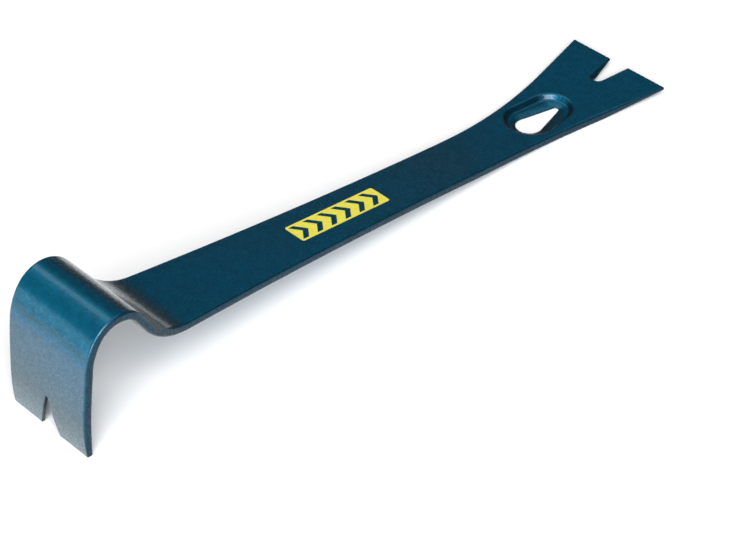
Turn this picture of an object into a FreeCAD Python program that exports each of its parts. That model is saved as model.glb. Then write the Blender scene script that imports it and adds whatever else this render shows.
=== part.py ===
import FreeCAD, Part
import os
from math import atan2, cos, degrees, radians, sin, sqrt, tan

import Sketcher

# A flat pry bar: one bent, ground and punched steel forging with a printed mark on its shank.
#
# Millimetres. The bar is drawn with its straight shank along X, the hook towards -X and the blade
# towards +X. It is then set down on the floor: the claw's edge is at the origin, the belly of the
# blade touches z = 0, +Z is up and the bar is symmetric about the XZ plane.

SIZES = {
    # the strip
    "stock": 4.5,
    "blank_width": 66.0,
    "edge_radius": 0.6,
    # the straight shank, from the hook's trough to the start of the blade's bend
    "shank_length": 190.0,
    "shank_width": 31.8,
    "shank_end_width": 44.0,
    # the hook, bend by bend from the shank to the claw, on the strip's middle line
    "trough_radius": 34.0,
    "trough_turn": 52.0,
    "ramp_length": 10.0,
    "hump_radius": 14.5,
    "hump_turn": 112.0,
    "shoulder_radius": 30.0,
    "shoulder_turn": 28.0,
    "claw_radius": 480.0,
    "claw_turn": 5.7,
    "claw_bevel_turn": 2.5,
    "claw_edge": 2.8,
    "hook_width": 54.0,
    "hook_full_width_at": 45.0,
    "claw_width": 52.0,
    "claw_width_at": 43.0,
    # the blade: a gentle upward bend, then a straight end ground thin from below
    "blade_radius": 600.0,
    "blade_turn": 8.6,
    "blade_flat": 38.2,
    "tip_edge": 1.5,
    "flare_start": 206.0,
    "flare_radius": 360.0,
    "flare_turn": 12.0,
    # the nail notches
    "claw_notch_root": 23.5,
    "claw_notch_radius": 0.8,
    "claw_notch_angle": 32.8,
    "tip_notch_root": 301.2,
    "tip_notch_radius": 1.8,
    "tip_notch_angle": 28.8,
    # the nail slot and the dish around it
    "slot_centre": 248.3,
    "slot_length": 19.8,
    "slot_wide_radius": 7.0,
    "slot_narrow_radius": 1.8,
    "dish_centre": 249.2,
    "dish_length": 14.4,
    "dish_wide_radius": 13.6,
    "dish_narrow_radius": 11.8,
    "dish_depth": 2.8,
    "dish_wall_angle": 28.0,
    # the printed mark
    "badge_start": 83.0,
    "badge_length": 57.6,
    "badge_height": 13.4,
    "badge_rail": 1.1,
    "badge_film": 0.1,
    "badge_corner": 1.2,
    "chevron_gap": 3.6,
    "chevron_reach": 4.6,
    "chevron_pitch": 9.24,
    "chevron_count": 6,
}

START, END, CENTRE = 1, 2, 3
BEYOND = 12.0  # how far a cutting outline runs past the bar
HOOK_REACH = 50.0  # a little more than the hook reaches back past its widest point
BLADE_REACH = 150.0  # a little more than the blade reaches past the shank
LEAST_CUT = 0.1  # cubic millimetres that any cutting feature must take away

doc = FreeCAD.newDocument("pry_bar")


def fill_sheet():
    """The driving dimensions, one alias to a row."""
    sheet = doc.addObject("Spreadsheet::Sheet", "sizes")
    for row, (alias, value) in enumerate(SIZES.items(), start=1):
        sheet.set(f"A{row}", alias)
        sheet.set(f"B{row}", str(value))
        sheet.setAlias(f"B{row}", alias)
    doc.recompute()
    return sheet


sheet = fill_sheet()


def size(alias):
    return float(sheet.get(alias))


# ---- sketching ----------------------------------------------------------------------------


def point(x, y):
    return FreeCAD.Vector(x, y, 0)


def towards(angle):
    """Unit vector at an angle in degrees."""
    return point(cos(radians(angle)), sin(radians(angle)))


def arc(centre, radius, first, last):
    """Anticlockwise arc between two angles in degrees."""
    circle = Part.Circle(centre, FreeCAD.Vector(0, 0, 1), radius)
    return Part.ArcOfCircle(circle, radians(first), radians(last))


def line(start, end):
    return Part.LineSegment(start, end)


def polygon(corners):
    """Closed loop of lines."""
    return [line(a, b) for a, b in zip(corners, corners[1:] + corners[:1])]


def origin_plane(body, role):
    return next(item for item in body.Origin.OriginFeatures if item.Role == role)


def new_sketch(body, name, role):
    sketch = body.newObject("Sketcher::SketchObject", name)
    sketch.AttachmentSupport = [(origin_plane(body, role), "")]
    sketch.MapMode = "FlatFace"
    return sketch


def join(sketch, kind, first, first_end, second, second_end):
    """Joins two curve ends: Coincident, Tangent or Perpendicular."""
    sketch.addConstraint(Sketcher.Constraint(kind, first, first_end, second, second_end))


def present_value(sketch, kind, curve, *end):
    """What a dimension reads on the curve as it is drawn."""
    if kind == "DistanceX":
        return sketch.getPoint(curve, *end).x
    if kind == "DistanceY":
        return sketch.getPoint(curve, *end).y
    drawn = sketch.Geometry[curve]
    if kind == "Radius":
        return drawn.Radius
    if kind == "Angle":
        return drawn.LastParameter - drawn.FirstParameter
    return drawn.length()


def dimension(sketch, name, formula, kind, *where):
    """Adds a named dimension and ties it to the sheet."""
    value = present_value(sketch, kind, *where)
    index = sketch.addConstraint(Sketcher.Constraint(kind, *where, value))
    sketch.renameConstraint(index, name)
    sketch.setExpression(f"Constraints.{name}", formula)


def place_point(sketch, name, curve, end, x_formula, y_formula):
    dimension(sketch, f"{name}_x", x_formula, "DistanceX", curve, end)
    dimension(sketch, f"{name}_y", y_formula, "DistanceY", curve, end)


def chain_loop(sketch, curves):
    """Joins each curve's end to the next curve's start, round a closed loop."""
    for first, second in zip(curves, curves[1:] + curves[:1]):
        join(sketch, "Coincident", first, END, second, START)


# ---- features -----------------------------------------------------------------------------


def cut_through(body, name, sketch, both_ways=False):
    pocket = body.newObject("PartDesign::Pocket", name)
    pocket.Profile = sketch
    pocket.Type = "ThroughAll"
    if both_ways:
        pocket.SideType = "Two sides"
        pocket.Type2 = "ThroughAll"
    return pocket


def mirror_across(body, name, originals):
    mirror = body.newObject("PartDesign::Mirrored", name)
    mirror.Originals = originals
    mirror.MirrorPlane = (origin_plane(body, "XZ_Plane"), [""])
    body.Tip = mirror
    return mirror


def check_state():
    """Stops if any object failed to recompute."""
    doc.recompute()
    for item in doc.Objects:
        if "Invalid" in item.State or "Error" in item.State:
            raise RuntimeError(f"{item.Name} failed: {item.State}")


def check_removes(feature):
    """Stops if a cutting feature left its base as it was."""
    check_state()
    if feature.Shape.Volume > feature.BaseFeature.Shape.Volume - LEAST_CUT:
        raise RuntimeError(f"{feature.Name} cuts nothing")


# ---- the bar's side view ------------------------------------------------------------------


def hook_bends():
    """Centre, radius and first and last angle of the hump, shoulder and claw bends."""
    ramp_foot = point(0, size("trough_radius"))
    ramp_foot += towards(-90 - size("trough_turn")) * size("trough_radius")
    ramp_top = ramp_foot + towards(180 - size("trough_turn")) * size("ramp_length")
    angle = 90 - size("trough_turn")
    centre = ramp_top - towards(angle) * size("hump_radius")
    bends = []
    for name, following in (("hump", "shoulder"), ("shoulder", "claw"), ("claw", None)):
        last = angle + size(f"{name}_turn")
        bends.append((centre, size(f"{name}_radius"), angle, last))
        if following:
            centre = centre + towards(last) * (size(f"{name}_radius") - size(f"{following}_radius"))
        angle = last
    return ramp_foot, ramp_top, bends


def hook_face(offset, claw_short=0.0):
    """The hook's outer (+) or inner (-) face: trough, ramp, hump, shoulder and claw."""
    ramp_foot, ramp_top, bends = hook_bends()
    lift = towards(90 - size("trough_turn")) * offset
    trough = arc(point(0, size("trough_radius")), size("trough_radius") - offset,
                 -90 - size("trough_turn"), -90)
    curves = [trough, line(ramp_foot + lift, ramp_top + lift)]
    for number, (centre, radius, first, last) in enumerate(bends):
        short = claw_short if number == 2 else 0.0
        curves.append(arc(centre, radius + offset, first, last - short))
    return curves


def claw_bevel():
    """Arc that leaves the claw's outer face smoothly and ends at its thin edge."""
    centre, radius, _, last = hook_bends()[2][2]
    half = size("stock") / 2
    leave = last - size("claw_bevel_turn")
    start = centre + towards(leave) * (radius + half)
    inner_corner = centre + towards(last) * (radius - half)
    outer_corner = inner_corner + towards(last) * size("claw_edge")
    chord = start - outer_corner
    bevel_radius = chord.dot(chord) / (2 * chord.dot(towards(leave)))
    bevel_centre = start - towards(leave) * bevel_radius
    end = outer_corner - bevel_centre
    bevel_end = degrees(atan2(end.y, end.x)) % 360
    return arc(bevel_centre, bevel_radius, leave, bevel_end), line(inner_corner, outer_corner)


def floor_contact(corner, centre, radius):
    """Where a line from a corner touches the underside of a circle."""
    reach = centre - corner
    bearing = degrees(atan2(reach.y, reach.x))
    dip = degrees(atan2(radius, sqrt(reach.dot(reach) - radius ** 2)))
    return centre + towards(bearing - dip - 90) * radius


def draw_side_profile(body):
    sketch = new_sketch(body, "side_profile", "XZ_Plane")
    half = size("stock") / 2
    shank_end = size("shank_length")
    blade_centre = point(shank_end, size("blade_radius"))
    slope = size("blade_turn")
    bend_top = blade_centre + towards(slope - 90) * (size("blade_radius") - half)
    bend_bottom = blade_centre + towards(slope - 90) * (size("blade_radius") + half)
    tip_top = bend_top + towards(slope) * size("blade_flat")
    tip_bottom = tip_top + towards(slope - 90) * size("tip_edge")
    bevel, claw_end = claw_bevel()
    claw_corner = claw_end.StartPoint
    belly = floor_contact(claw_corner, blade_centre, size("blade_radius") + half)
    curves = {
        "shank_top": line(point(0, half), point(shank_end, half)),
        "blade_bend_top": arc(blade_centre, size("blade_radius") - half, -90, slope - 90),
        "blade_top": line(bend_top, tip_top),
        "tip": line(tip_top, tip_bottom),
        "taper": line(tip_bottom, bend_bottom),
        "blade_bend_bottom": arc(blade_centre, size("blade_radius") + half, -90, slope - 90),
        "shank_bottom": line(point(0, -half), point(shank_end, -half)),
        "claw_end": claw_end,
        "bevel": bevel,
    }
    bends = ["trough", "ramp", "hump", "shoulder", "claw"]
    outer = hook_face(half, claw_short=size("claw_bevel_turn"))
    inner = hook_face(-half)
    curves.update({f"outer_{name}": curve for name, curve in zip(bends, outer)})
    curves.update({f"inner_{name}": curve for name, curve in zip(bends, inner)})
    at = {name: sketch.addGeometry(curve, False) for name, curve in curves.items()}
    floor = sketch.addGeometry(line(claw_corner, belly), True)

    # blade and shank
    join(sketch, "Tangent", at["shank_top"], END, at["blade_bend_top"], START)
    join(sketch, "Tangent", at["blade_bend_top"], END, at["blade_top"], START)
    join(sketch, "Perpendicular", at["blade_top"], END, at["tip"], START)
    join(sketch, "Coincident", at["tip"], END, at["taper"], START)
    join(sketch, "Coincident", at["taper"], END, at["blade_bend_bottom"], END)
    join(sketch, "Tangent", at["shank_bottom"], END, at["blade_bend_bottom"], START)
    join(sketch, "Coincident", at["blade_bend_top"], CENTRE, at["blade_bend_bottom"], CENTRE)
    # both faces of the hook
    for face, shank in (("outer", "shank_top"), ("inner", "shank_bottom")):
        trough, ramp, hump, shoulder, claw = (at[f"{face}_{name}"] for name in bends)
        join(sketch, "Tangent", at[shank], START, trough, END)
        join(sketch, "Tangent", trough, START, ramp, START)
        join(sketch, "Tangent", ramp, END, hump, START)
        join(sketch, "Tangent", hump, END, shoulder, START)
        join(sketch, "Tangent", shoulder, END, claw, START)
    for name in ("trough", "hump", "shoulder", "claw"):
        join(sketch, "Coincident", at[f"outer_{name}"], CENTRE, at[f"inner_{name}"], CENTRE)
        sign = "-" if name == "trough" else "+"
        dimension(sketch, f"outer_{name}_radius", f"sizes.{name}_radius {sign} sizes.stock / 2",
                  "Radius", at[f"outer_{name}"])
    for curve in ("outer_trough", "inner_trough", "outer_hump", "outer_shoulder", "inner_claw"):
        name = curve.split("_")[1]
        dimension(sketch, f"{curve}_turn", f"sizes.{name}_turn * 1 deg", "Angle", at[curve])
    dimension(sketch, "outer_claw_turn", "(sizes.claw_turn - sizes.claw_bevel_turn) * 1 deg",
              "Angle", at["outer_claw"])
    # the ground end of the claw
    join(sketch, "Perpendicular", at["inner_claw"], END, at["claw_end"], START)
    join(sketch, "Tangent", at["outer_claw"], END, at["bevel"], START)
    join(sketch, "Coincident", at["claw_end"], END, at["bevel"], END)
    # lengths
    for shank in ("shank_top", "shank_bottom"):
        sketch.addConstraint(Sketcher.Constraint("Horizontal", at[shank]))
    place_point(sketch, "shank_top_start", at["shank_top"], START, "0", "sizes.stock / 2")
    dimension(sketch, "shank_bottom", "-sizes.stock / 2", "DistanceY", at["shank_bottom"], START)
    dimension(sketch, "shank_length", "sizes.shank_length", "Distance", at["shank_top"])
    dimension(sketch, "ramp_length", "sizes.ramp_length", "Distance", at["outer_ramp"])
    dimension(sketch, "blade_radius", "sizes.blade_radius - sizes.stock / 2",
              "Radius", at["blade_bend_top"])
    dimension(sketch, "blade_turn", "sizes.blade_turn * 1 deg", "Angle", at["blade_bend_top"])
    dimension(sketch, "blade_turn_below", "sizes.blade_turn * 1 deg",
              "Angle", at["blade_bend_bottom"])
    dimension(sketch, "blade_flat", "sizes.blade_flat", "Distance", at["blade_top"])
    dimension(sketch, "tip_edge", "sizes.tip_edge", "Distance", at["tip"])
    dimension(sketch, "claw_edge", "sizes.claw_edge", "Distance", at["claw_end"])
    # the floor under the resting bar: its place is measured and not driven
    join(sketch, "Coincident", floor, START, at["claw_end"], START)
    sketch.addConstraint(Sketcher.Constraint("Tangent", floor, END, at["blade_bend_bottom"]))
    rise = belly - claw_corner
    readings = (("floor_pitch", "Angle", (floor, atan2(rise.y, rise.x))),
                ("claw_x", "DistanceX", (floor, START, claw_corner.x)),
                ("claw_z", "DistanceY", (floor, START, claw_corner.y)))
    for name, kind, reading in readings:
        index = sketch.addConstraint(Sketcher.Constraint(kind, *reading))
        sketch.setDriving(index, False)
        sketch.renameConstraint(index, name)
    return sketch


# ---- the bar's plan and end views ---------------------------------------------------------


def draw_plan_outline(body):
    """Everything beyond the bar's +Y edge, seen from above."""
    sketch = new_sketch(body, "plan_outline", "XY_Plane")
    hook_half, end_half = size("hook_width") / 2, size("shank_end_width") / 2
    narrow_half = size("shank_width") / 2
    shank_end, behind = size("shank_length"), size("hook_full_width_at")
    outside = size("blank_width") / 2 + BEYOND
    far_left, far_right = -behind - HOOK_REACH, shank_end + BLADE_REACH
    # the shank narrows along one long arc that is level where the narrow stretch starts
    fall = end_half - narrow_half
    waist_radius = (shank_end ** 2 + fall ** 2) / (2 * fall)
    waist_angle = degrees(atan2(shank_end, waist_radius - fall))
    # two equal arcs carry the edge from the shank's end to the hook's full width
    rise, lean = hook_half - end_half, radians(waist_angle)
    a, b, c = behind, -2 * rise, rise * lean - behind * lean ** 2 / 2
    swell = degrees((-b + sqrt(b * b - 4 * a * c)) / (2 * a))
    swell_radius = behind / (2 * sin(radians(swell)) - sin(lean))
    shank_end_point = point(0, end_half)
    hollow_centre = shank_end_point + towards(90 - waist_angle) * swell_radius
    crown_centre = point(-behind, hook_half - swell_radius)
    flare_centre = point(size("flare_start"), narrow_half + size("flare_radius"))
    flare_end = flare_centre + towards(size("flare_turn") - 90) * size("flare_radius")
    run = far_right - flare_end.x
    edge_end = flare_end + point(run, run * tan(radians(size("flare_turn"))))
    curves = [
        line(point(far_left, hook_half), point(-behind, hook_half)),
        arc(crown_centre, swell_radius, 90 - swell, 90),
        arc(hollow_centre, swell_radius, -90 - swell, -90 - waist_angle),
        arc(point(shank_end, narrow_half + waist_radius), waist_radius, -90 - waist_angle, -90),
        line(point(shank_end, narrow_half), point(size("flare_start"), narrow_half)),
        arc(flare_centre, size("flare_radius"), -90, size("flare_turn") - 90),
        line(flare_end, edge_end),
        line(edge_end, point(far_right, outside)),
        line(point(far_right, outside), point(far_left, outside)),
        line(point(far_left, outside), point(far_left, hook_half)),
    ]
    names = [sketch.addGeometry(curve, False) for curve in curves]
    hook, crown, hollow, waist, narrow, flare, blade, right, top, left = names
    join(sketch, "Tangent", hook, END, crown, END)
    join(sketch, "Tangent", crown, START, hollow, START)
    join(sketch, "Tangent", hollow, END, waist, START)
    join(sketch, "Tangent", waist, END, narrow, START)
    join(sketch, "Tangent", narrow, END, flare, START)
    join(sketch, "Tangent", flare, END, blade, START)
    for first, second in ((blade, right), (right, top), (top, left), (left, hook)):
        join(sketch, "Coincident", first, END, second, START)
    for level in (hook, narrow, top):
        sketch.addConstraint(Sketcher.Constraint("Horizontal", level))
    for upright in (left, right):
        sketch.addConstraint(Sketcher.Constraint("Vertical", upright))
    sketch.addConstraint(Sketcher.Constraint("Equal", crown, hollow))
    place_point(sketch, "hook_end", hook, END, "-sizes.hook_full_width_at", "sizes.hook_width / 2")
    place_point(sketch, "shank_end", waist, START, "0", "sizes.shank_end_width / 2")
    place_point(sketch, "waist_end", waist, END, "sizes.shank_length", "sizes.shank_width / 2")
    place_point(sketch, "corner", top, START,
                f"sizes.shank_length + {BLADE_REACH}", f"sizes.blank_width / 2 + {BEYOND}")
    dimension(sketch, "far_left", f"-sizes.hook_full_width_at - {HOOK_REACH}",
              "DistanceX", top, END)
    dimension(sketch, "flare_start", "sizes.flare_start", "DistanceX", flare, START)
    dimension(sketch, "flare_radius", "sizes.flare_radius", "Radius", flare)
    dimension(sketch, "flare_turn", "sizes.flare_turn * 1 deg", "Angle", flare)
    return sketch


def draw_claw_side(body):
    """The sliver beyond the claw's +Y edge, seen from the front, where the claw narrows."""
    sketch = new_sketch(body, "claw_side", "YZ_Plane")
    wide, drop = size("hook_width") / 2, size("claw_width_at")
    low = -drop - BEYOND
    slant = (size("hook_width") - size("claw_width")) / 2 / drop
    corners = [point(wide, 0), point(wide + slant * low, low), point(wide + BEYOND, low),
               point(wide + BEYOND, 0)]
    edge, bottom, outside, top = [sketch.addGeometry(side, False) for side in polygon(corners)]
    chain_loop(sketch, [edge, bottom, outside, top])
    sketch.addConstraint(Sketcher.Constraint("Vertical", outside))
    slant_text = "(sizes.hook_width - sizes.claw_width) / 2 / sizes.claw_width_at"
    low_text = f"(sizes.claw_width_at + {BEYOND})"
    place_point(sketch, "edge_top", edge, START, "sizes.hook_width / 2", "0")
    place_point(sketch, "edge_low", edge, END,
                f"sizes.hook_width / 2 - {slant_text} * {low_text}", f"-{low_text}")
    place_point(sketch, "outside_low", bottom, END, f"sizes.hook_width / 2 + {BEYOND}", f"-{low_text}")
    dimension(sketch, "outside_top", "0", "DistanceY", outside, END)
    return sketch


def draw_notch(body, name, role, mouth_angle):
    """A V with a round root. The mouth opens at mouth_angle in the sketch plane."""
    sketch = new_sketch(body, f"{name}_outline", role)
    root, radius = size(f"{name}_root"), size(f"{name}_radius")
    half_angle = size(f"{name}_angle") / 2
    downwards = mouth_angle == -90
    centre = point(0, -root) if downwards else point(root, 0)
    reach = 2 * BEYOND + radius
    first = mouth_angle + 90 + half_angle
    last = mouth_angle + 270 - half_angle
    side_length = (reach + radius * sin(radians(half_angle))) / cos(radians(half_angle))
    root_first = centre + towards(first) * radius
    root_last = centre + towards(last) * radius
    mouth_first = root_first + towards(mouth_angle + half_angle) * side_length
    mouth_last = root_last + towards(mouth_angle - half_angle) * side_length
    curves = [arc(centre, radius, first, last), line(root_last, mouth_last),
              line(mouth_last, mouth_first), line(mouth_first, root_first)]
    bow, side_last, mouth, side_first = [sketch.addGeometry(curve, False) for curve in curves]
    join(sketch, "Tangent", bow, END, side_last, START)
    join(sketch, "Coincident", side_last, END, mouth, START)
    join(sketch, "Coincident", mouth, END, side_first, START)
    join(sketch, "Tangent", side_first, END, bow, START)
    sketch.addConstraint(Sketcher.Constraint("Horizontal" if downwards else "Vertical", mouth))
    sketch.addConstraint(Sketcher.Constraint("Equal", side_first, side_last))
    along = f"-sizes.{name}_root" if downwards else f"sizes.{name}_root"
    place_point(sketch, "root", bow, CENTRE, *(("0", along) if downwards else (along, "0")))
    dimension(sketch, "root_radius", f"sizes.{name}_radius", "Radius", bow)
    dimension(sketch, "root_turn", f"(180 - sizes.{name}_angle) * 1 deg", "Angle", bow)
    sign = "-" if downwards else "+"
    dimension(sketch, "mouth_line", f"{along} {sign} ({2 * BEYOND} + sizes.{name}_radius)",
              "DistanceY" if downwards else "DistanceX", mouth, START)
    return sketch


def draw_teardrop(sketch, name, along):
    """Two round ends joined by tangent lines, the wide end first. along: offset of x = 0."""
    wide, narrow = size(f"{name}_wide_radius"), size(f"{name}_narrow_radius")
    start, length = size(f"{name}_centre") - along, size(f"{name}_length")
    lean = degrees(atan2(wide - narrow, sqrt(length ** 2 - (wide - narrow) ** 2)))
    wide_centre, narrow_centre = point(start, 0), point(start + length, 0)
    up, down = towards(90 - lean), towards(lean - 90)
    curves = [
        arc(wide_centre, wide, 90 - lean, 270 + lean),
        line(wide_centre + down * wide, narrow_centre + down * narrow),
        arc(narrow_centre, narrow, lean - 90, 90 - lean),
        line(narrow_centre + up * narrow, wide_centre + up * wide),
    ]
    big, lower, small, upper = [sketch.addGeometry(curve, False) for curve in curves]
    join(sketch, "Tangent", big, END, lower, START)
    join(sketch, "Tangent", lower, END, small, START)
    join(sketch, "Tangent", small, END, upper, START)
    join(sketch, "Tangent", upper, END, big, START)
    return big, small


def draw_slot(body):
    sketch = new_sketch(body, "nail_slot_outline", "XY_Plane")
    big, small = draw_teardrop(sketch, "slot", 0.0)
    place_point(sketch, "wide_end", big, CENTRE, "sizes.slot_centre", "0")
    place_point(sketch, "narrow_end", small, CENTRE, "sizes.slot_centre + sizes.slot_length", "0")
    dimension(sketch, "wide_radius", "sizes.slot_wide_radius", "Radius", big)
    dimension(sketch, "narrow_radius", "sizes.slot_narrow_radius", "Radius", small)
    return sketch


def draw_dish(body):
    """The dish's rim, on a plane that touches the blade's curved top under the dish's middle."""
    sketch = new_sketch(body, "dish_outline", "XY_Plane")
    middle = "(sizes.dish_centre + sizes.dish_length / 2)"
    top_radius = "(sizes.blade_radius - sizes.stock / 2)"
    tilt = f"asin(({middle} - sizes.shank_length) / {top_radius})"
    sketch.AttachmentOffset = FreeCAD.Placement(
        FreeCAD.Vector(), FreeCAD.Rotation(FreeCAD.Vector(0, -1, 0), 1))
    sketch.setExpression(".AttachmentOffset.Rotation.Angle", tilt)
    sketch.setExpression(".AttachmentOffset.Base.x", middle)
    sketch.setExpression(".AttachmentOffset.Base.z",
                         f"sizes.blade_radius - {top_radius} * cos({tilt})")
    big, small = draw_teardrop(sketch, "dish", size("dish_centre") + size("dish_length") / 2)
    place_point(sketch, "wide_end", big, CENTRE, "-sizes.dish_length / 2", "0")
    place_point(sketch, "narrow_end", small, CENTRE, "sizes.dish_length / 2", "0")
    dimension(sketch, "wide_radius", "sizes.dish_wide_radius", "Radius", big)
    dimension(sketch, "narrow_radius", "sizes.dish_narrow_radius", "Radius", small)
    return sketch


# ---- the two pieces -----------------------------------------------------------------------


def long_edges(shape):
    """Names of the edges that run along the bar where a broad face meets a side face."""
    least_half = size("shank_width") / 2 - size("edge_radius")
    steepest = tan(radians(20))
    names = []
    for number, edge in enumerate(shape.Edges, start=1):
        box = edge.BoundBox
        clear_of_notches = min(abs(box.YMin), abs(box.YMax)) > least_half
        runs_along = box.YLength < steepest * max(box.XLength, box.ZLength)
        longer_than_stock = edge.Length > size("stock") * 1.2
        if clear_of_notches and runs_along and longer_than_stock:
            names.append(f"Edge{number}")
    return names


def set_on_floor(body):
    """Turns and moves a body so that the claw's edge and the blade's belly rest on z = 0."""
    body.Placement = FreeCAD.Placement(
        FreeCAD.Vector(), FreeCAD.Rotation(FreeCAD.Vector(0, 1, 0), 1))
    pitch, x, z = (f"side_profile.Constraints.{name}" for name in ("floor_pitch", "claw_x", "claw_z"))
    body.setExpression("Placement.Rotation.Angle", pitch)
    body.setExpression("Placement.Base.x", f"-{x} * cos({pitch}) - {z} * sin({pitch})")
    body.setExpression("Placement.Base.z", f"{x} * sin({pitch}) - {z} * cos({pitch})")


def make_forged_bar():
    body = doc.addObject("PartDesign::Body", "forged_bar")
    body.Label = "forged_bar"
    strip = body.newObject("PartDesign::Pad", "bent_strip")
    strip.Profile = draw_side_profile(body)
    strip.SideType = "Symmetric"
    strip.setExpression("Length", "sizes.blank_width")
    check_state()
    edge_cut = cut_through(body, "edge_cut", draw_plan_outline(body), both_ways=True)
    check_removes(edge_cut)
    claw_cut = cut_through(body, "claw_cut", draw_claw_side(body))
    check_removes(claw_cut)
    check_removes(mirror_across(body, "other_edge", [edge_cut, claw_cut]))
    claw_notch = cut_through(body, "claw_notch", draw_notch(body, "claw_notch", "YZ_Plane", -90))
    check_removes(claw_notch)
    tip_notch = cut_through(body, "tip_notch", draw_notch(body, "tip_notch", "XY_Plane", 0),
                            both_ways=True)
    check_removes(tip_notch)
    edges = body.newObject("PartDesign::Fillet", "rounded_edges")
    edges.Base = (tip_notch, long_edges(tip_notch.Shape))
    edges.setExpression("Radius", "sizes.edge_radius")
    check_removes(edges)
    dish = body.newObject("PartDesign::Pocket", "nail_dish")
    dish.Profile = draw_dish(body)
    dish.setExpression("Length", "sizes.dish_depth")
    dish.setExpression("TaperAngle", "-sizes.dish_wall_angle")
    check_removes(dish)
    slot = cut_through(body, "nail_slot", draw_slot(body), both_ways=True)
    check_removes(slot)
    set_on_floor(body)
    return body


def draw_badge_plate(body):
    """The mark's outline: a level oblong with round corners, symmetric about the shank."""
    sketch = new_sketch(body, "badge_plate_outline", "XY_Plane")
    sketch.setExpression(".AttachmentOffset.Base.z", "sizes.stock / 2")
    left, right = size("badge_start"), size("badge_start") + size("badge_length")
    half, corner = size("badge_height") / 2, size("badge_corner")
    centres = [point(right - corner, half - corner), point(left + corner, half - corner),
               point(left + corner, corner - half), point(right - corner, corner - half)]
    corners = [arc(centre, corner, 90 * turn, 90 * turn + 90)
               for turn, centre in enumerate(centres)]
    arcs = [sketch.addGeometry(curve, False) for curve in corners]
    sides = []
    for number, curve in enumerate(corners):
        following = corners[(number + 1) % 4]
        sides.append(sketch.addGeometry(line(curve.EndPoint, following.StartPoint), False))
    for number, side in enumerate(sides):
        join(sketch, "Tangent", arcs[number], END, side, START)
        join(sketch, "Tangent", side, END, arcs[(number + 1) % 4], START)
        kind = "Horizontal" if number % 2 == 0 else "Vertical"
        sketch.addConstraint(Sketcher.Constraint(kind, side))
    for other in arcs[1:]:
        sketch.addConstraint(Sketcher.Constraint("Equal", arcs[0], other))
    dimension(sketch, "corner", "sizes.badge_corner", "Radius", arcs[0])
    dimension(sketch, "left", "sizes.badge_start", "DistanceX", sides[1], START)
    dimension(sketch, "right", "sizes.badge_start + sizes.badge_length", "DistanceX", sides[3], START)
    dimension(sketch, "top", "sizes.badge_height / 2", "DistanceY", sides[0], START)
    dimension(sketch, "bottom", "-sizes.badge_height / 2", "DistanceY", sides[2], START)
    return sketch


def draw_chevron_gap(body):
    """The bare gap between two chevrons, pointing at the blade."""
    sketch = new_sketch(body, "chevron_gap_outline", "XY_Plane")
    sketch.setExpression(".AttachmentOffset.Base.z", "sizes.stock / 2 + sizes.badge_film")
    rail, gap, reach = size("badge_rail"), size("chevron_gap"), size("chevron_reach")
    left, half = size("badge_start") + rail, size("badge_height") / 2 - rail
    corners = [point(left, half), point(left + reach, 0), point(left, -half),
               point(left + gap, -half), point(left + gap + reach, 0), point(left + gap, half)]
    places = [("0", 1), ("sizes.chevron_reach", 0), ("0", -1), ("sizes.chevron_gap", -1),
              ("sizes.chevron_gap + sizes.chevron_reach", 0), ("sizes.chevron_gap", 1)]
    sides = [sketch.addGeometry(side, False) for side in polygon(corners)]
    chain_loop(sketch, sides)
    for number, (side, (along, across)) in enumerate(zip(sides, places)):
        place_point(sketch, f"corner_{number}", side, START,
                    f"sizes.badge_start + sizes.badge_rail + {along}",
                    f"{across} * (sizes.badge_height / 2 - sizes.badge_rail)")
    return sketch


def make_printed_badge():
    body = doc.addObject("PartDesign::Body", "printed_badge")
    body.Label = "printed_badge"
    film = body.newObject("PartDesign::Pad", "badge_film")
    film.Profile = draw_badge_plate(body)
    film.setExpression("Length", "sizes.badge_film")
    check_state()
    gap = cut_through(body, "chevron_gap", draw_chevron_gap(body))
    check_removes(gap)
    row = body.newObject("PartDesign::LinearPattern", "chevron_row")
    row.Originals = [gap]
    row.Direction = (gap.Profile[0], ["H_Axis"])
    row.Mode = "Spacing"
    row.setExpression("Offset", "sizes.chevron_pitch")
    row.setExpression("Occurrences", "sizes.chevron_count")
    body.Tip = row
    check_removes(row)
    set_on_floor(body)
    return body


def export(pieces):
    os.makedirs("parts", exist_ok=True)
    check_state()
    for piece in pieces:
        if piece.Shape.isNull() or not piece.Shape.isValid() or len(piece.Shape.Solids) != 1:
            raise RuntimeError(f"{piece.Label} is not one valid solid")
        piece.Shape.exportStep(f"parts/{piece.Label}.step")


export([make_forged_bar(), make_printed_badge()])
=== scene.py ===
import math
from collections import namedtuple

import bmesh
import bpy
import numpy as np
from mathutils import Matrix, Vector


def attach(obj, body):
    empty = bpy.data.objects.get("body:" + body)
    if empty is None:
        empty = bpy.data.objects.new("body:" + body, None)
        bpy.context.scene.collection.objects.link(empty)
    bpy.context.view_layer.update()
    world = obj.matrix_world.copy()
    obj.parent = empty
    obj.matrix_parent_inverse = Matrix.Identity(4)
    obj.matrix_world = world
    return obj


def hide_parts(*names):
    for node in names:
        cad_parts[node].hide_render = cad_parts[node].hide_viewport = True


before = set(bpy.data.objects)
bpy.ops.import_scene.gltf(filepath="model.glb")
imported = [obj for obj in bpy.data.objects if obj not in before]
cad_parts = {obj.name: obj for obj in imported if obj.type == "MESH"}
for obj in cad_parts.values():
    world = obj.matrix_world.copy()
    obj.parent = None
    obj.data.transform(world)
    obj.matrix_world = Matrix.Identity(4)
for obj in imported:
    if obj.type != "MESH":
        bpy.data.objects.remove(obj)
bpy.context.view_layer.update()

MILLIMETRE = 0.001

# ---- sizes, in millimetres ------------------------------------------------------------------
# s runs along the strip's middle line from the start of the straight shank, forwards to the
# blade's tip and backwards to the claw's edge. v runs across the strip, w up through its stock,
# and x and z are the places along and above the shank's middle line.

HALF = 2.25  # half the stock's thickness

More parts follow.
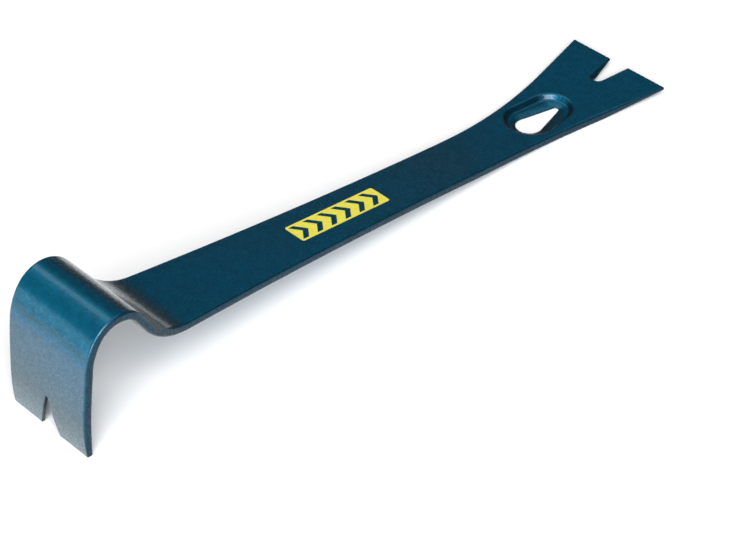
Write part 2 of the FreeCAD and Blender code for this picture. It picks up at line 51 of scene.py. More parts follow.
# the strip's bends
SHANK = 190.0
BLADE_RADIUS = 600.0
BLADE_TURN = math.radians(8.6)
BLADE_FLAT = 38.2
TROUGH_RADIUS = 34.0
TROUGH_TURN = math.radians(52)
RAMP = 10.0
HUMP_RADIUS = 14.5
HUMP_TURN = math.radians(112)
SHOULDER_RADIUS = 30.0
SHOULDER_TURN = math.radians(28)
CLAW_RADIUS = 480.0
CLAW_TURN = math.radians(5.7)

# the ground ends
CLAW_BEVEL = CLAW_RADIUS * math.radians(2.5)
CLAW_EDGE = 2.8
TIP_EDGE = 1.5
TAPER_START = 0.03  # softness of the taper's start, as a share of its length
TAPER_REACH = 0.3  # how far ahead of the taper that softness is kept, as a share of its length

# half widths
SHANK_END_HALF = 22.0
NARROW_HALF = 15.9
HOOK_HALF = 27.0
HOOK_WIDE_AT = 45.0
CLAW_HALF = 26.0
CLAW_WIDTH_AT = 43.0
FLARE_START = 206.0
FLARE_RADIUS = 360.0
FLARE_TURN = math.radians(12)
FLARE_BEND = FLARE_RADIUS * math.sin(FLARE_TURN)
WAIST_FALL = SHANK_END_HALF - NARROW_HALF
WAIST_RADIUS = (SHANK ** 2 + WAIST_FALL ** 2) / (2 * WAIST_FALL)

# the radii of the forged and ground edges
LONG_EDGE = 1.2
GROUND_LONG_EDGE = 0.45
CLAW_END_EDGE = 0.5
TIP_END_EDGE = 0.4
CRISP = 0.3

# the nail notches; a bevel has its width at the root and its width at the mouth
CLAW_NOTCH_ROOT = 23.5
CLAW_NOTCH_RADIUS = 0.8
CLAW_NOTCH_HALF = math.radians(16.4)
CLAW_NOTCH_BEVEL = (3.4, 1.5)
TIP_NOTCH_ROOT = 301.2
TIP_NOTCH_RADIUS = 1.8
TIP_NOTCH_HALF = math.radians(14.4)
TIP_NOTCH_BEVEL = (2.9, 0.8)
BEVEL_LEAN = 1.15  # a bevel's width for each millimetre of its depth
BEVEL_START = 0.3  # the softened share of a bevel's width

# the slot and the dish are teardrops: places of the wide and narrow ends, then their radii
SLOT = (248.3, 268.1, 7.0, 1.8)
DISH = (249.2, 263.6, 13.6, 11.8)
DISH_DEPTH = 2.8
DISH_SLOPE = math.radians(90 - 28)
RIM_RADIUS = 1.9
FOOT_RADIUS = 2.1
SETBACK = math.tan(DISH_SLOPE / 2)  # from a rounded corner's start to its sharp corner, per radius
SLOT_LAND = 0.5
BOWL_POWER = 1.5

# ---- spacing of the mesh --------------------------------------------------------------------

LAYERS = 5
TURNS = np.linspace(0, math.pi / 2, LAYERS + 1)  # angles of the rows round a rounded edge
WALL_ROWS = 3  # down each wall
COLUMNS = 16  # from the middle to the long edge
SUPPORT = 0.3  # width of the narrow columns beside the notches, the dish and the long edge
ROW_GAP = 0.4  # least distance from a notch or the dish to the nearest cross row
BEVEL_ROWS = 6
CLAW_NOTCH_STEPS = (8, 18)  # round the root, down the side
TIP_NOTCH_STEPS = (10, 14)
TEARDROP_STEPS = (30, 12, 18)  # round the wide end, down the side, round the narrow end
RIM_STEPS = 6
FOOT_STEPS = 7
BOWL_STEPS = 8

# how far the cross rows lean between the middle and the long edge, and over what length of shank
CLAW_LEAN = 4.0
CLAW_LEAN_OVER = 14.0
RIM_LEAN = 11.0
RIM_LEAN_OVER = 45.0
RIM_LEAN_AHEAD = 8.8
TIP_LEAN = 3.0

# the bends, starting from the shank's two ends; a turn is positive where the strip curls up
Bend = namedtuple("Bend", "length turn spacing")


def arc(radius, turn, spacing):
    return Bend(radius * abs(turn), turn, spacing)


FORWARD = (
    Bend(SHANK, 0.0, 2.5),
    arc(BLADE_RADIUS, BLADE_TURN, 1.2),
    Bend(BLADE_FLAT, 0.0, 1.2),
)
BACKWARD = (
    arc(TROUGH_RADIUS, TROUGH_TURN, 0.8),
    Bend(RAMP, 0.0, 1.0),
    arc(HUMP_RADIUS, -HUMP_TURN, 0.6),
    arc(SHOULDER_RADIUS, -SHOULDER_TURN, 0.8),
    arc(CLAW_RADIUS, -CLAW_TURN, 1.2),
)
BOTH_WAYS = ((1, FORWARD), (-1, BACKWARD))
TIP = sum(bend.length for bend in FORWARD)
CLAW = -sum(bend.length for bend in BACKWARD)
FLAT_START = TIP - BLADE_FLAT


# ---- the strip's shape ----------------------------------------------------------------------


def ease(t):
    """Smooth step from 0 to 1."""
    t = np.clip(t, 0, 1)
    return t * t * (3 - 2 * t)


def spine(s):
    """Place and heading of the strip's middle line, in the plane of its side view."""
    s = np.asarray(s, float)
    x, z, heading = np.zeros_like(s), np.zeros_like(s), np.zeros_like(s)
    for way, bends in BOTH_WAYS:
        passed, start = 0.0, 0.0
        for bend in bends:
            step = way * np.clip(way * s - passed, 0, bend.length)
            rate = bend.turn / bend.length
            if rate:
                after = start + rate * step
                x = x + (np.sin(after) - np.sin(start)) / rate
                z = z - (np.cos(after) - np.cos(start)) / rate
            else:
                x = x + step * math.cos(start)
                z = z + step * math.sin(start)
            heading = heading + rate * step
            start += way * bend.turn
            passed += bend.length
    return x, z, heading


def along(x):
    """Distance s along the middle line, for a place x on the blade."""
    level = BLADE_RADIUS * math.sin(BLADE_TURN)
    bend = BLADE_RADIUS * np.arcsin(np.clip(x - SHANK, 0, level) / BLADE_RADIUS)
    return SHANK + bend + np.clip(x - SHANK - level, 0, None) / math.cos(BLADE_TURN)


def shank_and_blade(x):
    """Half width from the shank forwards: an arc, then a flare that starts as an arc."""
    waist = WAIST_RADIUS - np.sqrt(WAIST_RADIUS ** 2 - np.clip(SHANK - x, 0, SHANK) ** 2)
    bend = np.clip(x - FLARE_START, 0, FLARE_BEND)
    flare = FLARE_RADIUS - np.sqrt(FLARE_RADIUS ** 2 - bend ** 2)
    straight = np.clip(x - FLARE_START - FLARE_BEND, 0, None) * math.tan(FLARE_TURN)
    return NARROW_HALF + waist + flare + straight


def hook_gain(x):
    """Extra half width of the hook: it leaves the shank's edge smoothly and ends level."""
    u = np.clip(-x / HOOK_WIDE_AT, 0, 1)
    slope = math.asin(SHANK / WAIST_RADIUS) * HOOK_WIDE_AT
    return slope * u * (1 - u) ** 2 + (HOOK_HALF - SHANK_END_HALF) * ease(u)


def claw_loss(s, z):
    """Half width lost by the claw, which narrows as it hangs below the shank."""
    slant = (HOOK_HALF - CLAW_HALF) / CLAW_WIDTH_AT
    return np.clip(-z, 0, None) * slant * (s < 0)


def half_width(s):
    x, z, _ = spine(s)
    return shank_and_blade(x) + hook_gain(x) - claw_loss(s, z)


def claw_part(s):
    """0 before the claw's bevel, 1 at the claw's edge."""
    return np.clip((CLAW + CLAW_BEVEL - s) / CLAW_BEVEL, 0, 1)


def tip_part(s):
    """0 before the blade's taper, 1 at the tip, with a softened start."""
    t = (s - FLAT_START) / BLADE_FLAT
    return np.clip((t + np.sqrt(t ** 2 + TAPER_START ** 2)) / 2, 0, 1) * (t > -TAPER_REACH)


def top_height(s):
    return HALF - (2 * HALF - CLAW_EDGE) * claw_part(s) ** 2


def bottom_height(s):
    return -HALF + (2 * HALF - TIP_EDGE) * tip_part(s)


def place(s, v, w):
    """Points of the strip, bent, in the shank's frame."""
    x, z, heading = spine(s)
    return np.stack([x - w * np.sin(heading), v, z + w * np.cos(heading)], -1)


def rest_on_floor(points):
    """Turns and moves points so that the claw's inner corner and the blade's belly meet the floor."""
    corner = place(np.array(CLAW), np.array(0.0), np.array(-HALF))
    reach_x, reach_z = SHANK - corner[0], BLADE_RADIUS - corner[2]
    belly = math.asin((BLADE_RADIUS + HALF) / math.hypot(reach_x, reach_z))
    pitch = math.atan2(reach_z, reach_x) - belly
    moved = points - corner
    x = moved[..., 0] * math.cos(pitch) + moved[..., 2] * math.sin(pitch)
    z = moved[..., 2] * math.cos(pitch) - moved[..., 0] * math.sin(pitch)
    return np.stack([x, moved[..., 1], z], -1)


# ---- outlines of the +v half, as arrays of (s, v) -------------------------------------------

# a line of points where an edge's rounding or bevel starts, the normals towards its wall, and the
# distance from each point to the wall
Side = namedtuple("Side", "line normals width")


def long_edge(s):
    """The long edge as a side."""
    nudge = 0.05
    slope = np.arctan((half_width(s + nudge) - half_width(s - nudge)) / (2 * nudge))
    ground = np.maximum(claw_part(s), tip_part(s))
    radius = LONG_EDGE + (GROUND_LONG_EDGE - LONG_EDGE) * ground
    line = np.stack([s, half_width(s) - radius / np.cos(slope)], -1)
    return Side(line, np.stack([-np.sin(slope), np.cos(slope)], -1), radius)


def notch(root, radius, half_angle, way, end, bevel, steps):
    """Half of a V notch as a side, from its root to its mouth. way is 1 for a notch that opens
    forwards and -1 for one that opens backwards."""
    arc_steps, side_steps = steps
    at_root, at_mouth = bevel
    a = np.linspace(0, math.pi / 2 - half_angle, arc_steps + 1)
    round_root = np.stack([root - way * radius * np.cos(a), radius * np.sin(a)], -1)
    mouth = end + way * at_mouth * math.sin(half_angle)
    t = np.linspace(0, 1, side_steps + 1)[1:, None]
    length = abs(mouth - round_root[-1, 0]) / math.cos(half_angle)
    straight = np.array([way * math.cos(half_angle), math.sin(half_angle)])
    wall = np.concatenate([round_root, round_root[-1] + t * length * straight])
    root_normals = np.stack([way * np.cos(a), -np.sin(a)], -1)
    side_normals = np.tile([way * math.sin(half_angle), -math.cos(half_angle)], (side_steps, 1))
    normals = np.concatenate([root_normals, side_normals])
    share = np.concatenate([np.zeros(arc_steps + 1), t[:, 0]])
    width = at_root + (at_mouth - at_root) * share
    return Side(wall - width[:, None] * normals, normals, width)


def claw_notch_root():
    """Distance s at which the claw hangs CLAW_NOTCH_ROOT below the shank's middle line."""
    s = np.linspace(CLAW + CLAW_RADIUS * CLAW_TURN, CLAW, 400)
    return float(np.interp(CLAW_NOTCH_ROOT, -spine(s)[1], s))


def teardrop(shape, inset=0.0):
    """Half of a teardrop, from its wide end's far point to its narrow end's far point."""
    wide_at, narrow_at, wide, narrow = shape
    wide, narrow = wide - inset, narrow - inset
    wide_steps, side_steps, narrow_steps = TEARDROP_STEPS
    lean = math.pi / 2 - math.asin((wide - narrow) / (narrow_at - wide_at))
    a = np.linspace(math.pi, lean, wide_steps + 1)
    b = np.linspace(lean, 0, narrow_steps + 1)
    first = np.stack([wide_at + wide * np.cos(a), wide * np.sin(a)], -1)
    last = np.stack([narrow_at + narrow * np.cos(b), narrow * np.sin(b)], -1)
    t = np.linspace(0, 1, side_steps + 1)[1:-1, None]
    side = first[-1] + t * (last[0] - first[-1])
    outline = np.concatenate([first, side, last])
    outline[:, 0] = along(outline[:, 0])
    return outline


def on_axis(rows):
    return np.stack([rows, np.zeros_like(rows)], -1)


def cross_rows(start, end):
    """Distances s between two places, closer together where the strip bends."""
    rows = {0.0}
    for way, bends in BOTH_WAYS:
        passed = 0.0
        for bend in bends:
            steps = math.ceil(bend.length / bend.spacing)
            rows.update(way * (passed + np.linspace(0, bend.length, steps + 1)[1:]))
            passed += bend.length
    rows = np.array(sorted(rows))
    inside = rows[(rows > start + ROW_GAP) & (rows < end - ROW_GAP)]
    return np.concatenate([[start], inside, [end]])


def spread(line, first, last):
    """Values from first to last, spread as the points of a line are spread along its length."""
    steps = np.linalg.norm(np.diff(line, axis=0), axis=1)
    run = np.concatenate([[0], np.cumsum(steps)])
    return np.interp(run, [0, run[-1]], [first, last])


# ---- mesh -----------------------------------------------------------------------------------


class Plate:
    """Collects quads of the +v half of the strip, top, bottom and walls."""

    def __init__(self):
        self.points = []
        self.quads = []

    def sheet(self, grid):
        """Adds a rows by columns array of points."""
        rows, columns = grid.shape[:2]
        first = sum(len(points) for points in self.points)
        self.points.append(grid.reshape(-1, 3))
        index = first + np.arange(rows * columns).reshape(rows, columns)
        quads = np.stack([index[:-1, :-1], index[1:, :-1], index[1:, 1:], index[:-1, 1:]], -1)
        self.quads.append(quads.reshape(-1, 4))

    def patch(self, outline, top_drop, bottom_drop, walls=()):
        """Adds the top and bottom over a grid of (s, v), and walls along the named sides."""
        s, v = outline[..., 0], outline[..., 1]
        high = top_height(s) - top_drop
        low = bottom_height(s) + bottom_drop
        self.sheet(place(s, v, high))
        self.sheet(place(s, v, low))
        last = {"row": (-1, slice(None)), "column": (slice(None), -1)}
        t = np.linspace(0, 1, WALL_ROWS + 1)[:, None]
        for wall in walls:
            pick = last[wall]
            heights = high[pick] * (1 - t) + low[pick] * t
            wall_s = np.broadcast_to(s[pick], heights.shape)
            wall_v = np.broadcast_to(v[pick], heights.shape)
            self.sheet(place(wall_s, wall_v, heights))

    def object(self, name):
        """Mirrors the half, sets the whole down on the floor and joins it into one mesh."""
        points = np.concatenate(self.points)
        quads = np.concatenate(self.quads)
        whole = np.concatenate([points, points * [1, -1, 1]])
        quads = np.concatenate([quads, quads[:, ::-1] + len(points)])
        mesh = bpy.data.meshes.new(name)
        mesh.from_pydata((rest_on_floor(whole) * MILLIMETRE).tolist(), [], quads.tolist())
        work = bmesh.new()
        work.from_mesh(mesh)
        bmesh.ops.remove_doubles(work, verts=work.verts, dist=0.002 * MILLIMETRE)
        bmesh.ops.recalc_face_normals(work, faces=work.faces)
        for face in work.faces:
            face.smooth = True
        work.to_mesh(mesh)
        work.free()
        made = bpy.data.objects.new(name, mesh)
        bpy.context.scene.collection.objects.link(made)
        return made


def round_drop(x, radius):
    """Fall of a rounded edge at a distance x from its wall."""
    return radius - np.sqrt(np.clip(radius ** 2 - np.clip(radius - x, 0, None) ** 2, 0, None))


def crisp_drop(x, width):
    """Fall of a crisp edge, whatever the width of the bevel on the other face."""
    return round_drop(x, CRISP)


def bevel_drop(x, width):
    """Fall of a straight bevel with a softened start, and a crisp edge at its wall."""
    depth = (width - CRISP) / BEVEL_LEAN
    t = np.clip(1 - x / width, 0, 1)
    soft = t ** 2 / (2 * BEVEL_START - BEVEL_START ** 2)
    straight = (t - BEVEL_START / 2) / (1 - BEVEL_START / 2)
    return depth * np.where(t < BEVEL_START, soft, straight) + round_drop(x, CRISP)


def rounded_side(plate, side):
    """Quarter-round rows from a side's line to its wall, then the wall."""
    u = np.sin(TURNS)[:, None, None]
    outline = side.line[None] + u * side.width[None, :, None] * side.normals[None]
    drop = (1 - np.cos(TURNS))[:, None] * side.width
    plate.patch(outline, drop, drop, ["row"])


def rounded_end(plate, line, normal, radius):
    """Quarter-round rows along a straight end of the strip."""
    rounded_side(plate, Side(line, np.tile(normal, (len(line), 1)), np.full(len(line), radius)))


def notch_rows(width):
    """Distances from the notch's wall, closer together at the wall."""
    share = np.linspace(0, 1, BEVEL_ROWS + 1)[:, None]
    rows = width + share * (CRISP - width)
    return np.concatenate([rows, (CRISP * (1 - np.sin(TURNS[1:])))[:, None] * np.ones_like(width)])


def bevelled_side(plate, side, top_drop, bottom_drop):
    """Rows over a notch's bevel, then its wall. The drops take distances and widths."""
    x = notch_rows(side.width)
    outline = side.line[None] + (side.width - x)[..., None] * side.normals[None]
    plate.patch(outline, top_drop(x, side.width), bottom_drop(x, side.width), ["row"])


# one of the two edges that meet at a corner: its normal, its rows' distances from the wall, its
# width, and its drops as functions of distance and width
Edge = namedtuple("Edge", "normal rows width top_drop bottom_drop")


def round_edge(normal, radius):
    rows = radius * (1 - np.sin(TURNS))
    return Edge(np.array(normal), rows, radius, round_drop, round_drop)


def notch_edge(side, top_drop, bottom_drop):
    """The bevelled edge at a notch's mouth."""
    rows = notch_rows(side.width[-1:])[:, 0]
    return Edge(side.normals[-1], rows, side.width[-1], top_drop, bottom_drop)


def rounded_corner(plate, corner, first, second):
    """The round corner between two edges, with rows that fit both."""
    u, v = np.meshgrid(1 - first.rows / first.width, 1 - second.rows / second.width, indexing="ij")
    p, q = u * np.sqrt(1 - v ** 2 / 2), v * np.sqrt(1 - u ** 2 / 2)
    reach = np.sqrt(np.clip(p ** 2 + q ** 2, 0, 1))
    whole = np.where(reach > 0, reach, 1) ** 2
    outline = (corner + p[..., None] * first.width * first.normal
               + q[..., None] * second.width * second.normal)

    def mixed(first_drop, second_drop):
        near_first = first_drop(first.width * (1 - reach), first.width)
        near_second = second_drop(second.width * (1 - reach), second.width)
        return (p ** 2 * near_first + q ** 2 * near_second) / whole

    top = mixed(first.top_drop, second.top_drop)
    bottom = mixed(first.bottom_drop, second.bottom_drop)
    plate.patch(outline, top, bottom, ["row", "column"])


# ---- the bar --------------------------------------------------------------------------------


def inner_and_outer(claw_notch, rim, tip_notch, claw_line, tip_line):
    """The main sheet's inner boundary, which follows the notches, the axis and the dish's rim, and
    the distances s of the matching points on the long edge."""
    claw_start, tip_start = claw_notch.line[0, 0], tip_notch.line[0, 0]
    shank_rows = cross_rows(claw_start, rim[0, 0])
    neck_rows = cross_rows(rim[-1, 0], tip_start)
    from_claw = shank_rows - shank_rows[0]
    to_rim = shank_rows[-1] - shank_rows
    outer_claw = spread(claw_notch.line[::-1], claw_line, claw_start + CLAW_LEAN)
    outer_shank = (shank_rows + CLAW_LEAN * (1 - ease(from_claw / CLAW_LEAN_OVER))
                   - RIM_LEAN * ease(1 - to_rim / RIM_LEAN_OVER))
    outer_rim = spread(rim, rim[0, 0] - RIM_LEAN, rim[-1, 0] + RIM_LEAN_AHEAD)
    outer_neck = np.interp(neck_rows, [neck_rows[0], neck_rows[-1]],
                           [outer_rim[-1], tip_start - TIP_LEAN])
    outer_tip = spread(tip_notch.line, outer_neck[-1], tip_line)
    inner = np.concatenate([claw_notch.line[::-1], on_axis(shank_rows)[1:], rim[1:],
                            on_axis(neck_rows)[1:], tip_notch.line[1:]])
    outer_s = np.concatenate([outer_claw, outer_shank[1:], outer_rim[1:], outer_neck[1:],
                              outer_tip[1:]])
    return inner, outer_s


def sheet_between(inner, outer):
    """Columns from the inner boundary to the outer one, with a narrow column beside each."""
    span = np.linalg.norm(outer - inner, axis=1)[:, None]
    support = SUPPORT / span
    share = support + np.linspace(0, 1, COLUMNS - 1)[None] * (1 - 2 * support)
    share = np.concatenate([np.zeros_like(span), share, np.ones_like(span)], 1)
    return inner[:, None] + share[..., None] * (outer - inner)[:, None]


def add_dish(plate):
    """Rings of the dish: rim, wall, foot, a floor that falls towards the slot, the slot's edge."""
    rings, depths = [], []
    for a in np.linspace(0, DISH_SLOPE, RIM_STEPS + 1):
        rings.append(teardrop(DISH, RIM_RADIUS * (math.sin(a) - SETBACK)))
        depths.append(RIM_RADIUS * (1 - math.cos(a)))
    foot = DISH_DEPTH / math.tan(DISH_SLOPE) + FOOT_RADIUS * SETBACK
    for a in np.linspace(DISH_SLOPE, 0, FOOT_STEPS + 1):
        rings.append(teardrop(DISH, foot - FOOT_RADIUS * math.sin(a)))
        depths.append(DISH_DEPTH - FOOT_RADIUS * (1 - math.cos(a)))
    floor_edge, slot_edge = rings[-1], teardrop(SLOT, -CRISP)
    bowl = 2 * HALF - DISH_DEPTH - SLOT_LAND - CRISP
    for t in np.linspace(0, 1, BOWL_STEPS + 1)[1:]:
        rings.append(floor_edge + t * (slot_edge - floor_edge))
        depths.append(DISH_DEPTH + bowl * t ** BOWL_POWER)
    lows = [0.0] * len(rings)
    for x in CRISP * (1 - np.sin(TURNS[1:])):
        rings.append(teardrop(SLOT, -x))
        depths.append(DISH_DEPTH + bowl + float(round_drop(x, CRISP)))
        lows.append(float(round_drop(x, CRISP / 2)))
    plate.patch(np.stack(rings), np.array(depths)[:, None], np.array(lows)[:, None], ["row"])


def make_bar():
    plate = Plate()
    claw_line, tip_line = CLAW + CLAW_END_EDGE, TIP - TIP_END_EDGE
    claw_notch = notch(claw_notch_root(), CLAW_NOTCH_RADIUS, CLAW_NOTCH_HALF, -1, claw_line,
                       CLAW_NOTCH_BEVEL, CLAW_NOTCH_STEPS)
    tip_notch = notch(float(along(TIP_NOTCH_ROOT)), TIP_NOTCH_RADIUS, TIP_NOTCH_HALF, 1, tip_line,
                      TIP_NOTCH_BEVEL, TIP_NOTCH_STEPS)
    rim = teardrop(DISH, -RIM_RADIUS * SETBACK)
    inner, outer_s = inner_and_outer(claw_notch, rim, tip_notch, claw_line, tip_line)
    outer = long_edge(outer_s)
    main = sheet_between(inner, outer.line)
    plate.patch(main, 0.0, 0.0)

    # rounded sides and ends
    back, ahead = (-1.0, 0.0), (1.0, 0.0)
    rounded_side(plate, outer)
    rounded_end(plate, main[0], back, CLAW_END_EDGE)
    rounded_end(plate, main[-1], ahead, TIP_END_EDGE)

    # the notches' bevels: the claw's is on its inner face, the blade's on top
    bevelled_side(plate, claw_notch, crisp_drop, bevel_drop)
    bevelled_side(plate, tip_notch, bevel_drop, crisp_drop)

    # the corners at the ends of the long edge and at the mouths of the notches
    claw_end, tip_end = round_edge(back, CLAW_END_EDGE), round_edge(ahead, TIP_END_EDGE)
    claw_side = round_edge(outer.normals[0], outer.width[0])
    tip_side = round_edge(outer.normals[-1], outer.width[-1])
    rounded_corner(plate, outer.line[0], claw_end, claw_side)
    rounded_corner(plate, outer.line[-1], tip_end, tip_side)
    rounded_corner(plate, inner[0], claw_end, notch_edge(claw_notch, crisp_drop, bevel_drop))
    rounded_corner(plate, inner[-1], tip_end, notch_edge(tip_notch, bevel_drop, crisp_drop))

    add_dish(plate)
    return plate.object("bar")


bar = make_bar()
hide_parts("forged_bar")
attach(bar, "root")


# ---- materials ------------------------------------------------------------------------------

# the blue paint's colour by the slant it is seen at, from face on (0) to edge on (1); partly the
# paint's own change with slant and partly painted light: the bright stops near 0.29 and 0.42 are
# painted highlight bands, and the grey towards edge on is a painted reflection of the pale floor
PAINT_AND_PAINTED_SHEEN = (
    (0.22, (0.002, 0.13, 0.24)),
    (0.29, (0.002, 0.18, 0.31)),
    (0.36, (0.002, 0.10, 0.17)),
    (0.42, (0.002, 0.11, 0.21)),
    (0.46, (0.007, 0.10, 0.185)),
    (0.54, (0.022, 0.074, 0.105)),
    (0.70, (0.034, 0.085, 0.11)),
    (0.85, (0.06, 0.095, 0.11)),
)
WORN_PAINT = (0.03, 0.11, 0.16)
# painted shade laid on faces turned sideways
PAINTED_SIDE_SHADE = (0.12, 0.26, 0.27)
PAINT_BUMP = 0.08 * MILLIMETRE
FLAKE_TILT = 0.25

THIN_INK = (0.60, 0.54, 0.055)
FULL_INK = (0.80, 0.73, 0.10)
PINHOLE = (0.10, 0.16, 0.10)
INK_BUMP = 0.04 * MILLIMETRE

BLACK = (0.0, 0.0, 0.0)
WHITE = (1.0, 1.0, 1.0)
DIM_STUDIO = (0.03, 0.03, 0.03)
BRIGHT_CEILING = (0.7, 0.7, 0.7)


class Nodes:
    """A node tree with short calls: add a node, then link or set its inputs by name."""

    def __init__(self, tree):
        self.tree = tree
        tree.nodes.clear()

    def add(self, kind, settings=None, **inputs):
        node = self.tree.nodes.new(kind)
        for key, value in (settings or {}).items():
            setattr(node, key, value)
        for key, value in inputs.items():
            self.feed(node.inputs[key.replace("_", " ")], value)
        return node

    def feed(self, socket, value):
        if isinstance(value, bpy.types.NodeSocket):
            self.tree.links.new(value, socket)
        else:
            socket.default_value = value

    def math(self, operation, *values):
        node = self.add("ShaderNodeMath", {"operation": operation})
        for socket, value in zip(node.inputs, values):
            self.feed(socket, value)
        return node.outputs[0]

    def noise(self, where, scale, detail=2.0, rough=0.5):
        node = self.add("ShaderNodeTexNoise", Vector=where, Scale=scale, Detail=detail, Roughness=rough)
        return node.outputs["Fac"]

    def ramp(self, fac, *stops):
        node = self.add("ShaderNodeValToRGB", Fac=fac)
        ramp = node.color_ramp
        while len(ramp.elements) < len(stops):
            ramp.elements.new(0.5)
        for element, (at, colour) in zip(ramp.elements, stops):
            element.position = at
            element.color = (*colour, 1)
        return node.outputs["Color"]

    def vector(self, operation, *values):
        node = self.add("ShaderNodeVectorMath", {"operation": operation})
        for socket, value in zip(node.inputs, values):
            self.feed(socket, value)
        return node.outputs["Vector"]

    def grey(self, value):
        return self.add("ShaderNodeCombineColor", Red=value, Green=value, Blue=value).outputs["Color"]

    def blend(self, kind, fac, first, second):
        node = self.add("ShaderNodeMix", {"data_type": "RGBA", "blend_type": kind})
        for name, value in (("Factor_Float", fac), ("A_Color", first), ("B_Color", second)):
            socket = next(item for item in node.inputs if item.identifier == name)
            self.feed(socket, (*value, 1) if isinstance(value, tuple) else value)
        return next(item for item in node.outputs if item.identifier == "Result_Color")

    def principled(self, specular=0.5, **inputs):
        node = self.add("ShaderNodeBsdfPrincipled", **inputs)
        node.inputs["Specular IOR Level"].default_value = specular
        return node.outputs["BSDF"]

    def end(self, kind, surface):
        """Adds the tree's output node."""
        self.feed(self.add(kind).inputs["Surface"], surface)


def new_material(name):
    """An empty material, its nodes, and the object's own space in millimetres."""
    material = bpy.data.materials.new(name)
    material.use_nodes = True
    nodes = Nodes(material.node_tree)
    metres = nodes.add("ShaderNodeTexCoord").outputs["Object"]
    millimetres = nodes.add("ShaderNodeMapping", Vector=metres, Scale=[1 / MILLIMETRE] * 3)
    return material, nodes, millimetres.outputs["Vector"]


def painted_steel():
    """Translucent metallic blue over blasted steel: bright and blue face on, greyer at a slant, with
    painted highlights and a painted floor reflection in that colour by slant, and painted shade on
    faces turned sideways.
    """
    material, nodes, where = new_material("painted_steel")
    broad = nodes.noise(where, 0.035, 3)
    patches = nodes.noise(where, 0.22, 3)
    grain = nodes.noise(where, 1.6, 3, 0.6)
    peel = nodes.noise(where, 1.3, 2)
    flakes = nodes.add("ShaderNodeTexVoronoi", Vector=where, Scale=1.3).outputs["Color"]

    # the paint's colour: by slant, which carries painted highlight bands and a painted floor
    # reflection, then uneven from flake to flake, and thinner on sharp edges
    slant = nodes.add("ShaderNodeLayerWeight", Blend=0.5).outputs["Facing"]
    slant = nodes.math("ADD", slant, nodes.math("MULTIPLY_ADD", broad, 0.06, -0.03))
    colour = nodes.ramp(slant, *PAINT_AND_PAINTED_SHEEN)
    tone = nodes.math("MULTIPLY_ADD", nodes.math("ADD", flakes, patches), 0.55, 0.5)
    colour = nodes.blend("MULTIPLY", 1.0, colour, nodes.grey(tone))
    point = nodes.add("ShaderNodeNewGeometry").outputs["Pointiness"]
    worn = nodes.math("MULTIPLY", nodes.ramp(point, (0.53, BLACK), (0.62, WHITE)), patches)
    colour = nodes.blend("MIX", nodes.math("MULTIPLY", worn, 0.35), colour, WORN_PAINT)

    # painted shade: faces turned sideways, such as the sides of the long edges, get a darker colour and
    # less coat, though the paint on them is the same
    normal = nodes.add("ShaderNodeTexCoord").outputs["Normal"]
    across = nodes.add("ShaderNodeSeparateXYZ", Vector=normal).outputs["Y"]
    turned = nodes.math("ABSOLUTE", across)
    side = nodes.math("SMOOTH_MIN", nodes.math("MULTIPLY", turned, 1.6), 1.0, 0.3)
    colour = nodes.blend("MULTIPLY", side, colour, PAINTED_SIDE_SHADE)
    coat = nodes.math("MULTIPLY_ADD", nodes.math("POWER", turned, 4.0), -0.75, 1.0)

    # a grainy base with tilted flakes under a smoother coat
    rough = nodes.math("MULTIPLY_ADD", grain, 0.16, 0.36)
    grainy = nodes.add("ShaderNodeBump", Strength=0.2, Distance=PAINT_BUMP, Height=grain)
    tilt = nodes.vector("SUBTRACT", flakes, (0.5, 0.5, 0.5))
    tilted = nodes.vector("MULTIPLY_ADD", tilt, [FLAKE_TILT] * 3, grainy.outputs["Normal"])
    smooth = nodes.add("ShaderNodeBump", Strength=0.12, Distance=PAINT_BUMP, Height=peel)
    surface = nodes.principled(0.2, Base_Color=colour, Metallic=0.8, Roughness=rough,
                               Normal=nodes.vector("NORMALIZE", tilted), Coat_Weight=coat,
                               Coat_Roughness=0.18, Coat_IOR=1.42,
                               Coat_Normal=smooth.outputs["Normal"])
    nodes.end("ShaderNodeOutputMaterial", surface)
    return material


def yellow_print():
    """Satin ink, thinner in places, with a few pinholes."""
    material, nodes, where = new_material("yellow_print")
    uneven = nodes.noise(where, 0.5, 3)
    speck = nodes.noise(where, 2.8, 2)
    colour = nodes.blend("MIX", uneven, THIN_INK, FULL_INK)
    pinholes = nodes.ramp(speck, (0.70, BLACK), (0.76, WHITE))
    colour = nodes.blend("MIX", pinholes, colour, PINHOLE)
    bump = nodes.add("ShaderNodeBump", Strength=0.2, Distance=INK_BUMP, Height=speck)
    rough = nodes.math("MULTIPLY_ADD", uneven, 0.2, 0.38)
    surface = nodes.principled(Base_Color=colour, Roughness=rough, Normal=bump.outputs["Normal"],
                               Coat_Weight=0.3, Coat_Roughness=0.3)
    nodes.end("ShaderNodeOutputMaterial", surface)
    return material


def pale_floor():
    material, nodes, where = new_material("pale_floor")
    cloud = nodes.noise(where, 0.004, 3)
    colour = nodes.blend("MIX", cloud, (0.86, 0.86, 0.86), (0.9, 0.9, 0.9))
    nodes.end("ShaderNodeOutputMaterial", nodes.principled(0.1, Base_Color=colour, Roughness=0.9))
    return material


def dress(piece, material):
    piece.data.materials.clear()
    piece.data.materials.append(material)


dress(bar, painted_steel())
dress(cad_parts["printed_badge"], yellow_print())


# ---- floor, light and camera, in metres -----------------------------------------------------

FLOOR_REACH = 6.0
BAR_MIDDLE = Vector((0.19, 0.0, 0.03))

LENS = 111.1
SENSOR = 36.0
CAMERA_AT = (-0.4059, -0.6365, 0.7205)
CAMERA_RIGHT = Vector((0.7155, -0.6984, -0.0166))
CAMERA_UP = Vector((0.4639, 0.4572, 0.7588))


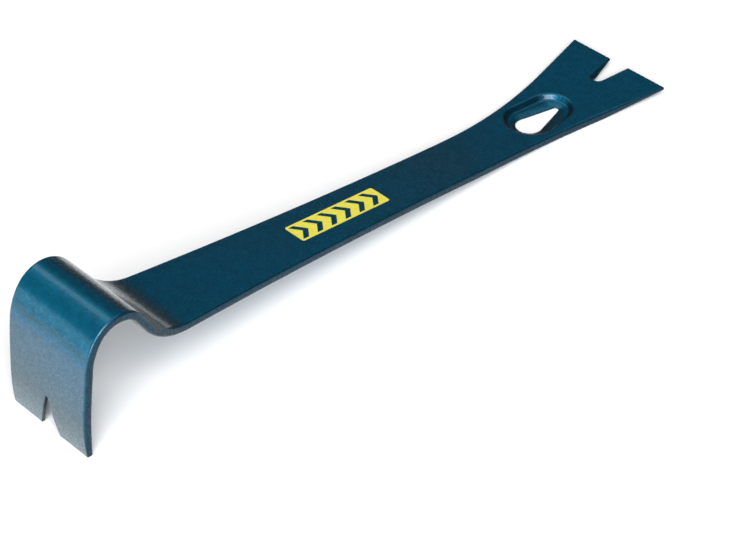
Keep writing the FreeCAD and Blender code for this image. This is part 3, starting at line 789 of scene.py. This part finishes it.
def make_floor():
    reach = FLOOR_REACH
    corners = [(-reach, -reach, 0), (reach, -reach, 0), (reach, reach, 0), (-reach, reach, 0)]
    mesh = bpy.data.meshes.new("floor")
    mesh.from_pydata(corners, [], [(0, 1, 2, 3)])
    floor = bpy.data.objects.new("floor", mesh)
    bpy.context.scene.collection.objects.link(floor)
    dress(floor, pale_floor())


def make_world():
    """A dim studio under a bright ceiling."""
    world = bpy.data.worlds.new("studio")
    bpy.context.scene.world = world
    world.use_nodes = True
    nodes = Nodes(world.node_tree)
    direction = nodes.add("ShaderNodeTexCoord").outputs["Generated"]
    height = nodes.add("ShaderNodeSeparateXYZ", Vector=direction).outputs["Z"]
    colour = nodes.ramp(height, (0.0, DIM_STUDIO), (0.72, DIM_STUDIO), (0.92, BRIGHT_CEILING))
    background = nodes.add("ShaderNodeBackground", Color=colour, Strength=1.0)
    nodes.end("ShaderNodeOutputWorld", background.outputs[0])


def softbox(name, direction, distance, size, power):
    """A rectangular light that looks at the middle of the bar from a direction."""
    light = bpy.data.lights.new(name, "AREA")
    light.shape = "RECTANGLE"
    light.size, light.size_y = size
    light.energy = power
    lamp = bpy.data.objects.new(name, light)
    lamp.location = BAR_MIDDLE + Vector(direction).normalized() * distance
    lamp.rotation_euler = (BAR_MIDDLE - lamp.location).to_track_quat("-Z", "Y").to_euler()
    bpy.context.scene.collection.objects.link(lamp)


def make_camera():
    """The photo's view."""
    camera = bpy.data.cameras.new("camera")
    camera.sensor_width = SENSOR
    camera.lens = LENS
    camera.clip_start = 0.05
    camera.clip_end = 30.0
    holder = bpy.data.objects.new("camera", camera)
    back = CAMERA_RIGHT.cross(CAMERA_UP)
    turn = Matrix((CAMERA_RIGHT, CAMERA_UP, back)).transposed().to_4x4()
    holder.matrix_world = Matrix.Translation(CAMERA_AT) @ turn
    bpy.context.scene.collection.objects.link(holder)
    bpy.context.scene.camera = holder


make_floor()
make_world()
# small lights for the bright lines on the hump, the bend, the dish and the near long edge, then
# the main light, from behind the camera
softbox("crest", (0.0, 0.64, 0.77), 1.62, (0.35, 0.35), 0.5)
softbox("bend", (-0.79, 0.59, 0.15), 1.75, (0.4, 0.4), 0.5)
softbox("rim", (-1.6, -0.48, 0.31), 1.7, (0.4, 0.4), 10.0)
softbox("front", (0.12, -0.97, 0.19), 1.7, (0.3, 0.3), 0.8)
softbox("strip", (-0.55, -0.8, 0.2), 1.7, (1.6, 0.3), 1.6)
softbox("key", (-0.6, -0.66, 0.80), 2.4, (2.0, 2.0), 108)
make_camera()
bpy.context.scene.view_settings.view_transform = "Standard"
